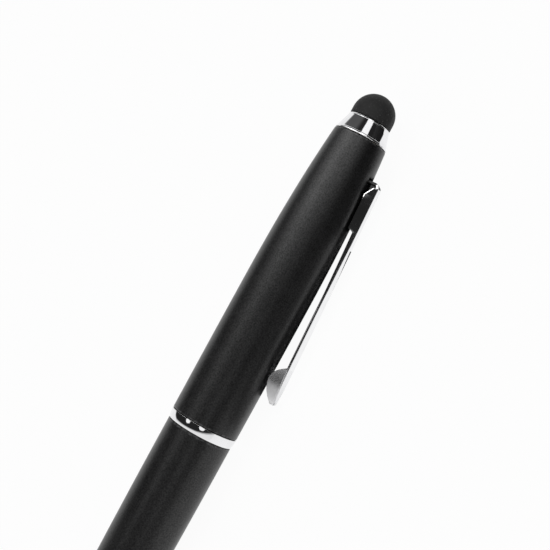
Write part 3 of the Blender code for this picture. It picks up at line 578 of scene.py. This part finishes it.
# Tip: a cone up to the tube, with a cup inside that follows the ball at a small gap.
def makeTipTube():
    spec = writingTip
    start, end = span("tip_tube")
    centre = start + spec["lipBack"]
    fromFeed = math.acos(spec["feed"] / spec["cup"])
    toLip = -math.asin(spec["lipBack"] / spec["cup"])
    turn = np.linspace(fromFeed, toLip, spec["cupSteps"])
    cup = curveRows(centre + spec["cup"] * np.sin(turn), spec["cup"] * np.cos(turn))
    rows = [(start, spec["lip"], spec["lipEase"]), (start + spec["taper"], spec["tube"], spec["taperEase"])]
    rows += [(end, spec["tube"], spec["endEase"]), (end, spec["feed"], 0.0)] + cup
    return turnedPiece("tipTubeCone", "tip_tube", rows, spec["facets"])


def makeWritingBall():  # half circle turned once round
    spec = writingTip
    start, end = span("writing_ball")
    turn = np.linspace(-np.pi / 2, np.pi / 2, spec["ballSteps"])
    rows = curveRows((start + end) / 2 + spec["ball"] * np.sin(turn), spec["ball"] * np.cos(turn))
    return turnedPiece("writingBallBead", "writing_ball", rows, spec["ballFacets"], closed=False)


frictionRing = {"inside": 0.00375, "steps": 24, "facets": 96}


def makeFrictionRing():  # circle of cord turned once round
    spec = frictionRing
    start, end = span("friction_ring")
    cord = (end - start) / 2
    turn = np.linspace(0.0, 2 * np.pi, spec["steps"], endpoint=False)
    rows = curveRows(start + cord + cord * np.sin(turn), spec["inside"] + cord + cord * np.cos(turn))
    return turnedPiece("frictionRingCord", "friction_ring", rows, spec["facets"])


returnSpring = {
    "coil": 0.00217, "wire": 0.00022, "turns": 7, "closing": 0.62, "endTaper": 210, "steps": 420, "sides": 12,
}


# Spring: a circle of wire carried along a helix whose pitch, 1 - closing * cos(2 pi t), closes up at both ends.
# The wire's two ends round off as quarter circles over the last endTaper-th part of each half.
def makeReturnSpring():
    spec = returnSpring
    start, end = span("return_spring")
    t = np.linspace(0.0, 1.0, spec["steps"])
    climb = t - spec["closing"] / (2 * np.pi) * np.sin(2 * np.pi * t)
    x = start + spec["wire"] + (end - start - 2 * spec["wire"]) * climb
    turn = 2 * np.pi * spec["turns"] * t
    spoke = np.cos(turn)[:, None] * out + np.sin(turn)[:, None] * side
    path = axisPoint + x[:, None] * along + spec["coil"] * spoke
    ahead = np.gradient(path, axis=0)
    ahead /= np.linalg.norm(ahead, axis=1, keepdims=True)
    over = np.cross(ahead, spoke)
    atEnd = np.clip(np.abs(2 * t - 1) * spec["endTaper"] - (spec["endTaper"] - 1), 0.0, 1.0)
    taper = np.sqrt(1.0 - atEnd**2)[:, None, None]
    ring = np.linspace(0.0, 2 * np.pi, spec["sides"], endpoint=False)[None, :, None]
    hoop = np.cos(ring) * spoke[:, None] + np.sin(ring) * over[:, None]
    points = path[:, None] + spec["wire"] * taper * hoop
    faces = gridFaces(spec["steps"], spec["sides"], False, True)
    spring = makePiece("returnSpringCoil", "return_spring", points, faces, np.zeros(points.shape[:2]))
    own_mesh(spring)
    return spring


pocketClip = {
    # strip, its folds and its tongue
    "sheet": 0.0004, "bend": 0.0009, "tongueReach": 0.001, "neckBore": 0.00389,
    "fold": 0.0002, "lowFold": 0.00037, "foldLimit": 0.8, "innerFold": 0.00008,
    # arm: length, stand off the barrel, lean and half widths
    "length": 0.0397, "standoff": 0.0018, "splay": math.radians(2.72),
    "rootHalf": 0.00115, "armHalf": 0.00185, "tipHalf": 0.0005, "widen": 0.018, "leaf": 0.0078,
    # root walls, the lip that leads into them and the ears inside
    "root": 0.00764, "slant": 0.0016, "heel": 0.00038, "shoulder": 0.0003, "gap": 0.0003, "rootGap": 0.0004,
    "lipFrom": 0.4, "lipHold": 0.9, "lipLean": 1.2, "flare": 0.5, "unflare": 0.003,
    "earGap": 0.00003, "earSheet": 0.0003, "earStub": 0.00001, "earOverlap": 2,
    # flanges and fin
    "flangeTop": 0.00076, "flangeLow": 0.00047, "slimAt": 0.019,
    "fin": 0.0065, "finGap": 0.0004, "finPeak": 0.40, "finRise": 2.3, "finFall": 1.75, "finFull": 0.85,
    "nub": 0.0004,
    # eased edges, wear, painted shade on the bend and finish
    "edge": 0.00006, "ease": 0.00006, "slantEase": 0.00014, "edgeLift": 0.2,
    "bevel": (1.0, 0.94, 0.5, 0.06, 0.0), "edgeFade": 30, "foldRub": 0.7, "shadedBendSteps": 5,
    "satinEdge": 0.05, "satinStart": 0.6, "satinRise": (0.4, 0.6),
    # points along each stretch and across the section
    "tongueSteps": 8, "bendSteps": 20, "slantSteps": 16, "rootSteps": 12, "heelSteps": 6, "armSteps": 60,
    "finSteps": 70, "nubSteps": 9, "flatSteps": 15, "foldSteps": 9,
}


# Clip's half width: root width, eased to the arm's by a smooth step, then a quarter ellipse down to the tip.
def clipHalfWidth(distance, armLength):
    spec = pocketClip
    share = ramp(distance, spec["root"], spec["root"] + spec["widen"])
    arm = blend(spec["rootHalf"], spec["armHalf"], share**2 * (3 - 2 * share))
    leaf = ramp(distance, armLength - spec["leaf"], armLength)
    return np.where(leaf > 0, blend(spec["tipHalf"], spec["armHalf"], np.sqrt(1 - leaf**2)), arm)


# How deep a wall at that half width goes from the clip's face until only the gap is left over the barrel.
def clipReach(faceRadius, faceX, gap, wide):
    barrel = upperRadius(faceX) + gap
    return (faceRadius - np.sqrt(barrel**2 - wide**2)) / math.cos(pocketClip["splay"])


# Fold, foot and depth of the clip's sides down the arm. The root's walls deepen along the slant until they almost
# meet the barrel, the heel steps up to flanges that slim down the arm, and the fin swells to the barrel and falls
# away again as powers. Walls and flanges lean out by the flare, which fades before the fin.
def clipSides(distance, half, faceRadius, faceX, finStart):
    spec = pocketClip
    strip = spec["sheet"] + spec["edge"]
    heelEnd = spec["root"] + spec["heel"]
    fold = blend(spec["fold"], spec["lowFold"], ramp(distance, heelEnd, finStart))
    plainReach = clipReach(faceRadius, faceX, spec["gap"], half)
    rootFoot = half + spec["flare"] * (plainReach - spec["fold"])
    rootReach = clipReach(faceRadius, faceX, spec["rootGap"], rootFoot)
    rooted = blend(strip + spec["shoulder"], rootReach, ramp(distance, 0.0, spec["slant"]))
    flange = blend(spec["flangeTop"], spec["flangeLow"], ramp(distance, heelEnd, spec["slimAt"]))
    depth = blend(rooted, flange, ramp(distance, spec["root"], heelEnd))
    flared = spec["flare"] * (depth - fold) * ramp(distance, finStart, finStart - spec["unflare"])
    foot = np.maximum(half + flared, strip)
    onFin = ramp(distance, finStart, finStart + spec["fin"])
    rise = 1 - (1 - ramp(onFin, 0.0, spec["finPeak"])) ** spec["finRise"]
    past = ramp(onFin, spec["finPeak"], 1.0)
    swell = rise * (1 - past ** spec["finFall"]) ** spec["finFull"]
    finReach = clipReach(faceRadius, faceX, spec["finGap"], foot)
    return fold, foot, blend(depth, finReach, swell * (distance > finStart)), onFin


# Half of a section's outer or inner side: across the eased edge, up the flange, round the fold as a quarter circle
# and along the face, which lies at that level, to its middle.
def clipChain(steps, foot, half, fold, depth, level, edgeWide, edgeDeep):
    bevel, straight, quarter = steps
    rim = depth - edgeDeep
    toMiddle = 1 - straight[:, 1:]
    wide = [foot + edgeWide * bevel, blend(foot, half, straight),
            half - fold + fold * np.cos(quarter), (half - fold) * toMiddle]
    deep = [rim + edgeDeep * bevel, blend(rim, level + fold, straight),
            level + fold - fold * np.sin(quarter), level + np.zeros_like(half) * toMiddle]
    return np.concatenate(wide, axis=1), np.concatenate(deep, axis=1)


# Ears: the tongue's own side walls, tucked inside the root. Each station hangs a slab from the strip's inner face
# down to just above the barrel; four corners per station, closed at both ends.
def clipEars(start, outward):
    spec = pocketClip
    top = start - (spec["sheet"] + spec["earGap"]) * outward - axisPoint
    x = top @ along
    wide = spec["rootHalf"] - spec["sheet"] - spec["earGap"]
    floor = np.sqrt((upperRadius(x) + spec["gap"]) ** 2 - wide**2)
    high = np.maximum(top @ out, floor + spec["earStub"])
    outs = np.stack([high, floor, floor, high], axis=1)
    wides = np.array([wide, wide, wide - spec["earSheet"], wide - spec["earSheet"]])
    middle = axisPoint + x[:, None, None] * along + outs[..., None] * out
    both = np.stack([middle + wides[:, None] * side, middle - wides[:, None] * side])
    walls = gridFaces(len(x), 4, False, True).reshape(-1, 4)
    ends = np.array([[0], [4 * len(x) - 4]]) + np.arange(4)
    one = np.concatenate([walls, ends])
    return both.reshape(-1, 3), np.concatenate([one, one + 4 * len(x)])


# Clip: a folded strip's section carried along its tongue, bend and straight arm. Each section is an outer chain of
# points and an inner one a sheet's thickness away, both mirrored; the last section shrinks to a point.
def makePocketClip():
    spec = pocketClip
    strip = spec["sheet"] + spec["edge"]
    lean, level = math.sin(spec["splay"]), math.cos(spec["splay"])
    tongueFace = span("pocket_clip")[1]
    centreX = tongueFace - spec["bend"]
    centreRadius = upperRadius(np.array(centreX)) + spec["standoff"] - spec["bend"]
    armX = centreX + spec["bend"] * lean
    armLength = spec["length"] - (tongueFace - armX)
    finStart = armLength - spec["fin"]
    heelEnd = spec["root"] + spec["heel"]
    # stations: radius on the tongue, angle round the bend, distance down the arm
    tongue = np.linspace(spec["neckBore"] - spec["tongueReach"], centreRadius, spec["tongueSteps"])[:-1]
    bend = np.linspace(np.pi / 2, spec["splay"], spec["bendSteps"])
    slant = np.linspace(0.0, spec["slant"], spec["slantSteps"])[1:]
    root = np.linspace(spec["slant"], spec["root"], spec["rootSteps"])[1:]
    heel = np.linspace(spec["root"], heelEnd, spec["heelSteps"])[1:]
    arm = np.linspace(heelEnd, finStart, spec["armSteps"])[1:]
    onCurve = (1 - np.cos(np.linspace(0, np.pi, spec["finSteps"])[1:])) / 2
    fin = finStart + (spec["fin"] - spec["nub"]) * onCurve
    distance = np.concatenate([slant, root, heel, arm, fin])
    lead = len(tongue) + len(bend)
    armFrom = lead + len(slant) + len(root) + len(heel)
    # sides of the section, first down the arm, then with the tongue and the bend before it
    half = clipHalfWidth(distance, armLength)
    faceRadius = centreRadius + spec["bend"] * level + distance * lean
    faceX = armX - distance * level
    fold, foot, depth, onFin = clipSides(distance, half, faceRadius, faceX, finStart)
    rising = ramp(1 - bend / (np.pi / 2), spec["lipFrom"], 1.0)  # the lip grows out of the bend
    bendDepth = strip + spec["shoulder"] * rising
    bendFoot = spec["rootHalf"] + spec["flare"] * (bendDepth - spec["fold"]) * rising
    slanted = 1 - ramp(distance / spec["slant"], spec["lipHold"], spec["lipHold"] + 1)
    faceRadius = np.concatenate([tongue, centreRadius + spec["bend"] * np.cos(bend), faceRadius])
    faceX = np.concatenate([np.full(len(tongue), tongueFace), centreX + spec["bend"] * np.sin(bend), faceX])
    tilt = np.concatenate([np.full(len(tongue), np.pi / 2), bend, np.full(len(distance), spec["splay"])])
    half = np.concatenate([np.full(lead, spec["rootHalf"]), half])[:, None]
    foot = np.concatenate([np.full(len(tongue), spec["rootHalf"]), bendFoot, foot])[:, None]
    depth = np.concatenate([np.full(len(tongue), strip), bendDepth, depth])[:, None]
    fold = np.concatenate([np.full(lead, spec["fold"]), fold])[:, None]
    fold = np.minimum(fold, spec["foldLimit"] * np.minimum(half, depth))
    slanted = np.concatenate([np.zeros(len(tongue)), rising, slanted])[:, None]
    ease = blend(spec["ease"], spec["slantEase"], slanted)
    # a broken edge falls back, and the slanted one ends in a lip that leans out a little
    back = 1 - spec["lipLean"] * slanted
    bent = foot - spec["flare"] * ease * slanted
    innerFold = np.minimum(spec["innerFold"], 0.5 * (depth - spec["sheet"]))
    bevel = np.array([spec["bevel"]])
    straight = (1 - np.cos(np.linspace(0.0, np.pi, spec["flatSteps"])))[None] / 2  # closer near the corners
    quarter = np.linspace(0.0, np.pi / 2, spec["foldSteps"])[None]
    steps = (bevel, straight, quarter)
    outerWide, outerDeep = clipChain(steps, bent, half, fold, depth, 0.0, -back * ease, ease)
    innerWide, innerDeep = clipChain(steps, foot - spec["sheet"], half - spec["sheet"], innerFold, depth,
                                     spec["sheet"], ease, spec["edgeLift"] * ease)
    wide = np.concatenate([outerWide, -outerWide[:, -2::-1], -innerWide, innerWide[:, -2::-1]], axis=1)
    deep = np.concatenate([outerDeep, outerDeep[:, -2::-1], innerDeep, innerDeep[:, -2::-1]], axis=1)
    # rounded end: the last section shrinks about its middle as a quarter circle
    shrink = np.linspace(0.0, 1.0, spec["nubSteps"])[1:]
    smaller = np.sqrt(1 - shrink**2)[:, None]
    middle = depth[-1, 0] / 2
    wide = np.concatenate([wide, wide[-1] * smaller])
    deep = np.concatenate([deep, middle + (deep[-1] - middle) * smaller])
    faceRadius = np.concatenate([faceRadius, faceRadius[-1] + spec["nub"] * shrink * lean])
    faceX = np.concatenate([faceX, faceX[-1] - spec["nub"] * shrink * level])
    tilt = np.concatenate([tilt, np.full(len(shrink), spec["splay"])])
    outward = np.cos(tilt)[:, None] * out + np.sin(tilt)[:, None] * along
    start = axisPoint + faceRadius[:, None] * out + faceX[:, None] * along
    points = start[:, None] + wide[..., None] * side - deep[..., None] * outward[:, None]
    stations, loop = wide.shape
    innerFrom = loop // 2
    faces = gridFaces(stations, loop, False, True).reshape(-1, 4)
    # the tongue's cut end is filled by quads between the outer and the inner chain
    first = np.arange(innerFrom - 1)
    cap = np.stack([first, first + 1, loop - 2 - first, loop - 1 - first], axis=1)
    ears = range(len(tongue), lead + len(slant) + spec["earOverlap"])
    earPoints, earFaces = clipEars(start[ears], outward[ears])
    points = np.concatenate([points.reshape(-1, 3), earPoints])
    faces = np.concatenate([faces, cap, earFaces + loop * stations])
    # wear on the outer edges and folds, painted shade inside the root, on the tongue, the first bend stations and
    # the ears, satin on the fin and inside the arm
    rub = np.concatenate([np.ones(bevel.size), np.exp(-spec["edgeFade"] * straight[0]),
                          spec["foldRub"] * np.sin(2 * quarter[0]), np.zeros(straight.size - 1)])
    wear = np.zeros((stations, loop))
    wear[:, :innerFrom] = np.concatenate([rub, rub[-2::-1]])
    # painted shade: 1 darkens the inner faces up to the arm, the tongue with the start of the bend, and the ears
    dull = np.zeros((stations, loop))
    dull[:armFrom, innerFrom:] = 1.0
    dull[: len(tongue) + spec["shadedBendSteps"]] = 1.0
    finSatin = ramp(onFin, 0.0, spec["satinEdge"]) * blend(spec["satinStart"], 1.0, ramp(onFin, *spec["satinRise"]))
    satin = np.zeros((stations, loop))
    satin[lead : lead + len(distance)] = finSatin[:, None]
    satin[-len(shrink):] = 1.0
    satin[armFrom:, innerFrom:] = 1.0
    wear, satin = (np.append(mask, np.zeros(len(earPoints))) for mask in (wear, satin))
    dull = np.append(dull, np.ones(len(earPoints)))
    return makePiece("pocketClipStrip", "pocket_clip", points, faces, wear, dullInside=dull, satin=satin)


for makeOne in (makeUpperBarrel, makeLowerBarrel, makeCentreRing, makeNoseCone, makeStylusCollar, makeStylusDome,
                makeTipTube, makeWritingBall, makeFrictionRing, makeReturnSpring, makePocketClip):
    makeOne()


def lightRay(tree, *kinds):  # 1 for a ray of any of these kinds
    path = tree.nodes.new("ShaderNodeLightPath")
    return maths(tree, "MAXIMUM", *(path.outputs[kind] for kind in kinds))


paper = {
    "colour": (0.88, 0.88, 0.88), "roughness": 0.9, "specular": 0.1, "size": 3.0, "whiteShare": 0.95,
    "tooth": (0.0012, 3.0), "dark": (0.86, 0.86, 0.86), "light": (0.9, 0.9, 0.9),
}


def paleFloor():  # paper that keeps the shadow, and shows nearly white to the camera and in gloss
    size = paper["size"]
    mesh = bpy.data.meshes.new("paleFloor")
    mesh.from_pydata([(-size, -size, 0), (size, -size, 0), (size, size, 0), (-size, size, 0)], [], [(0, 1, 2, 3)])
    finish, tree, shader = startFinish("palePaper", paper)
    tooth = grainOf(tree, *paper["tooth"])
    feed(tree, mixedColour(tree, tooth, paper["dark"], paper["light"]), shader, "Base Color")
    glow = tree.nodes.new("ShaderNodeEmission")
    mix = tree.nodes.new("ShaderNodeMixShader")
    seen = lightRay(tree, "Is Camera Ray", "Is Transmission Ray", "Is Glossy Ray")
    tree.links.new(maths(tree, "MULTIPLY", seen, paper["whiteShare"]), mix.inputs[0])
    tree.links.new(shader.outputs[0], mix.inputs[1])
    tree.links.new(glow.outputs[0], mix.inputs[2])
    tree.links.new(mix.outputs[0], tree.nodes["Material Output"].inputs["Surface"])
    mesh.materials.append(finish)
    floor = bpy.data.objects.new("paleFloor", mesh)
    bpy.context.scene.collection.objects.link(floor)


# Levels of the surroundings, then the parts of the directions x, y and z over which each one sets in or ends.
surroundings = {
    "rearWhite": 0.95, "leftWhite": 0.9, "glow": 4.45, "frontGlow": 2.45, "frontDark": 0.018, "rearDark": 0.09,
    "rearY": (-0.1, 0.3), "browX": (-0.35, -0.15), "browDrop": (0.0, 0.16), "browZ": (0.45, 0.53),
    "leftRise": 0.5, "leftX": (-0.05, -0.2),
    "glowX": (-0.115, 0.30), "glowCurve": 1.5, "glowEndX": (0.42, 0.56),
    "glowNearY": (-0.66, 0.05), "glowFarY": (0.1, 0.76), "glowZ": (0.5, 0.65),
    "frontX": (0.185, 0.34), "frontNearY": (-1.0, -0.6), "frontFarY": (0.45, 0.9), "frontZ": (0.0, 0.3),
    "darkY": (-0.15, 0.1), "darkX": (0.1, 0.35),
}


# World: white low down behind the pen, reaching higher past its writing end, where it is white all over; a broad
# glow overhead towards the soft tip, and a weaker one in front of it; and dark where the photographer stands.
def studioWorld():
    spec = surroundings
    world = bpy.data.worlds.new("studio")
    world.use_nodes = True
    bpy.context.scene.world = world
    tree = world.node_tree
    coords = tree.nodes.new("ShaderNodeTexCoord")
    split = tree.nodes.new("ShaderNodeSeparateXYZ")
    tree.links.new(coords.outputs["Generated"], split.inputs[0])
    x, y, z = split.outputs
    fall = (1.0, 0.0)
    brow = maths(tree, "ADD", z, ranged(tree, x, spec["browX"], spec["browDrop"]))
    behind = maths(tree, "MULTIPLY", ranged(tree, y, spec["rearY"], (0.0, spec["rearWhite"])),
                   ranged(tree, brow, spec["browZ"], fall))
    slope = maths(tree, "ADD", x, maths(tree, "MULTIPLY", z, spec["leftRise"]))
    left = ranged(tree, slope, spec["leftX"], (0.0, spec["leftWhite"]))
    glow = maths(tree, "MULTIPLY", maths(tree, "POWER", ranged(tree, x, spec["glowX"]), spec["glowCurve"]),
                 ranged(tree, x, spec["glowEndX"], (spec["glow"], 0.0)), ranged(tree, y, spec["glowNearY"]),
                 ranged(tree, y, spec["glowFarY"], fall), ranged(tree, z, spec["glowZ"]))
    front = maths(tree, "MULTIPLY", ranged(tree, x, spec["frontX"], (0.0, spec["frontGlow"])),
                  ranged(tree, x, spec["glowEndX"], fall), ranged(tree, y, spec["frontNearY"]),
                  ranged(tree, y, spec["frontFarY"], fall), ranged(tree, z, spec["frontZ"]))
    dark = maths(tree, "MULTIPLY", ranged(tree, y, spec["darkY"]), ranged(tree, x, spec["darkX"]))
    dark = ranged(tree, dark, onto=(spec["frontDark"], spec["rearDark"]))
    tone = maths(tree, "MAXIMUM", behind, left, glow, front, dark)
    seen = lightRay(tree, "Is Camera Ray", "Is Transmission Ray")
    tree.links.new(mixedColour(tree, seen, tone, (1.0, 1.0, 1.0)), tree.nodes["Background"].inputs["Color"])


def facing(place, aim, up):  # matrix of a lamp or camera at place that looks at aim
    forward = (Vector(aim) - Vector(place)).normalized()
    right = forward.cross(Vector(up)).normalized()
    turn = Matrix((right, right.cross(forward), -forward)).transposed()
    return Matrix.Translation(place) @ turn.to_4x4()


lamps = {
    "keySide": {"place": (0.39, -0.235, 0.22), "aim": (0.06, 0.0, 0.006), "size": (0.19, 0.2), "power": 0.13,
                "shape": "RECTANGLE"},
    "edgeLamp": {"place": (0.3045, -0.23, 0.30), "aim": (0.0525, 0.0, 0.004), "size": (0.14, 0.14), "power": 0.092,
                 "shape": "RECTANGLE"},
    "rearSpot": {"place": (-0.08, 0.05, 0.488), "aim": (0.0075, 0.0, 0.006), "size": (0.138, 0.119), "power": 0.042,
                 "shape": "ELLIPSE"},
    "frontSpot": {"place": (-0.075, -0.347, 0.347), "aim": (0.0075, 0.0, 0.006), "size": (0.163, 0.126),
                  "power": 0.052, "shape": "ELLIPSE"},
}


def softLamp(name, spec):
    lamp = bpy.data.lights.new(name, "AREA")
    lamp.shape = spec["shape"]
    lamp.size, lamp.size_y = spec["size"]
    lamp.energy = spec["power"]
    box = bpy.data.objects.new(name, lamp)
    bpy.context.scene.collection.objects.link(box)
    box.matrix_world = facing(spec["place"], spec["aim"], along)


# Painted reflections: each card darkens or lightens what the pen's gloss shows of the floor. The three under the
# clip are painted shade, in place of the contact shadow that the floor's white glow hides in gloss.
cards = {
    "frontCard": {"x": (0.067, 3.0), "y": (-3.0, -0.006), "z": 0.0003, "tone": 0.01},
    "upperCard": {"x": (0.045, 0.067), "y": (-3.0, -0.0085), "z": 0.0003, "tone": 0.12},
    "greyCard": {"x": (0.0078, 0.045), "y": (-3.0, -0.0125), "z": 0.0003, "tone": 0.3},
    "footRim": {"x": (0.0085, 0.016), "y": (-0.0125, -0.0062), "z": 0.0003, "tone": 0.8},
    "topRim": {"x": (0.0575, 0.064), "y": (-0.0085, -0.0055), "z": 0.0003, "tone": 0.8},
    "underShadeCard": {"x": (0.016, 0.044), "y": (-0.0046, -0.0019), "z": 0.0001, "tone": 0.12},
    "rootShadeCard": {"x": (0.044, 0.0554), "y": (-0.0036, -0.0005), "z": 0.0001, "tone": 0.12},
    "bendShadeCard": {"x": (0.0554, 0.0568), "y": (-0.0052, -0.0005), "z": 0.0001, "tone": 0.12},
}
cardPaper = {"roughness": 0.9, "specular": 0.1, "fibre": (0.001, 3.0), "dark": 0.8, "light": 1.2}


def mirrorOnlyCard(name, spec):  # dark or pale card on the floor, which only mirrored rays see: a painted reflection, and painted shade under the clip
    (left, right), (near, far) = spec["x"], spec["y"]
    corners = [(left, near), (right, near), (right, far), (left, far)]
    mesh = bpy.data.meshes.new(name)
    mesh.from_pydata([(x, y, spec["z"]) for x, y in corners], [], [(0, 1, 2, 3)])
    dark, light = ((cardPaper[end] * spec["tone"],) * 3 for end in ("dark", "light"))
    finish, tree, shader = startFinish(name, {"colour": dark, **cardPaper})
    feed(tree, mixedColour(tree, grainOf(tree, *cardPaper["fibre"]), dark, light), shader, "Base Color")
    mesh.materials.append(finish)
    card = bpy.data.objects.new(name, mesh)
    bpy.context.scene.collection.objects.link(card)
    card.visible_camera = card.visible_diffuse = card.visible_shadow = card.visible_transmission = False


paleFloor()
studioWorld()
for lampName, lampSpec in lamps.items():
    softLamp(lampName, lampSpec)
for cardName, cardSpec in cards.items():
    mirrorOnlyCard(cardName, cardSpec)
print("studio:", len(lamps), "lamps,", len(cards), "cards")

photoView = {
    "tilt": math.radians(45.5), "lean": math.radians(28.75), "away": 0.174, "besideX": 0.0304,
    "aimX": 0.0346, "aimLeft": 0.0016, "lens": 69.4, "nearest": 0.01,
}


# Camera stands square to the pen, tilt from straight above towards the clip, and is rolled so the pen leans right.
def photoCamera():
    spec = photoView
    toward = Vector((0.0, -math.sin(spec["tilt"]), math.cos(spec["tilt"])))
    left = Vector((0.0, math.cos(spec["tilt"]), math.sin(spec["tilt"])))
    level = Vector(axisPoint)
    place = level + Vector((spec["besideX"], 0, 0)) + toward * spec["away"]
    aim = level + Vector((spec["aimX"], 0, 0)) + left * spec["aimLeft"]
    up = Vector(along) * math.cos(spec["lean"]) + left * math.sin(spec["lean"])
    data = bpy.data.cameras.new("photoCamera")
    data.lens = spec["lens"]
    data.clip_start = spec["nearest"]
    camera = bpy.data.objects.new("photoCamera", data)
    bpy.context.scene.collection.objects.link(camera)
    camera.matrix_world = facing(place, aim, up)
    bpy.context.scene.camera = camera


photoCamera()
bpy.context.scene.view_settings.view_transform = "Standard"
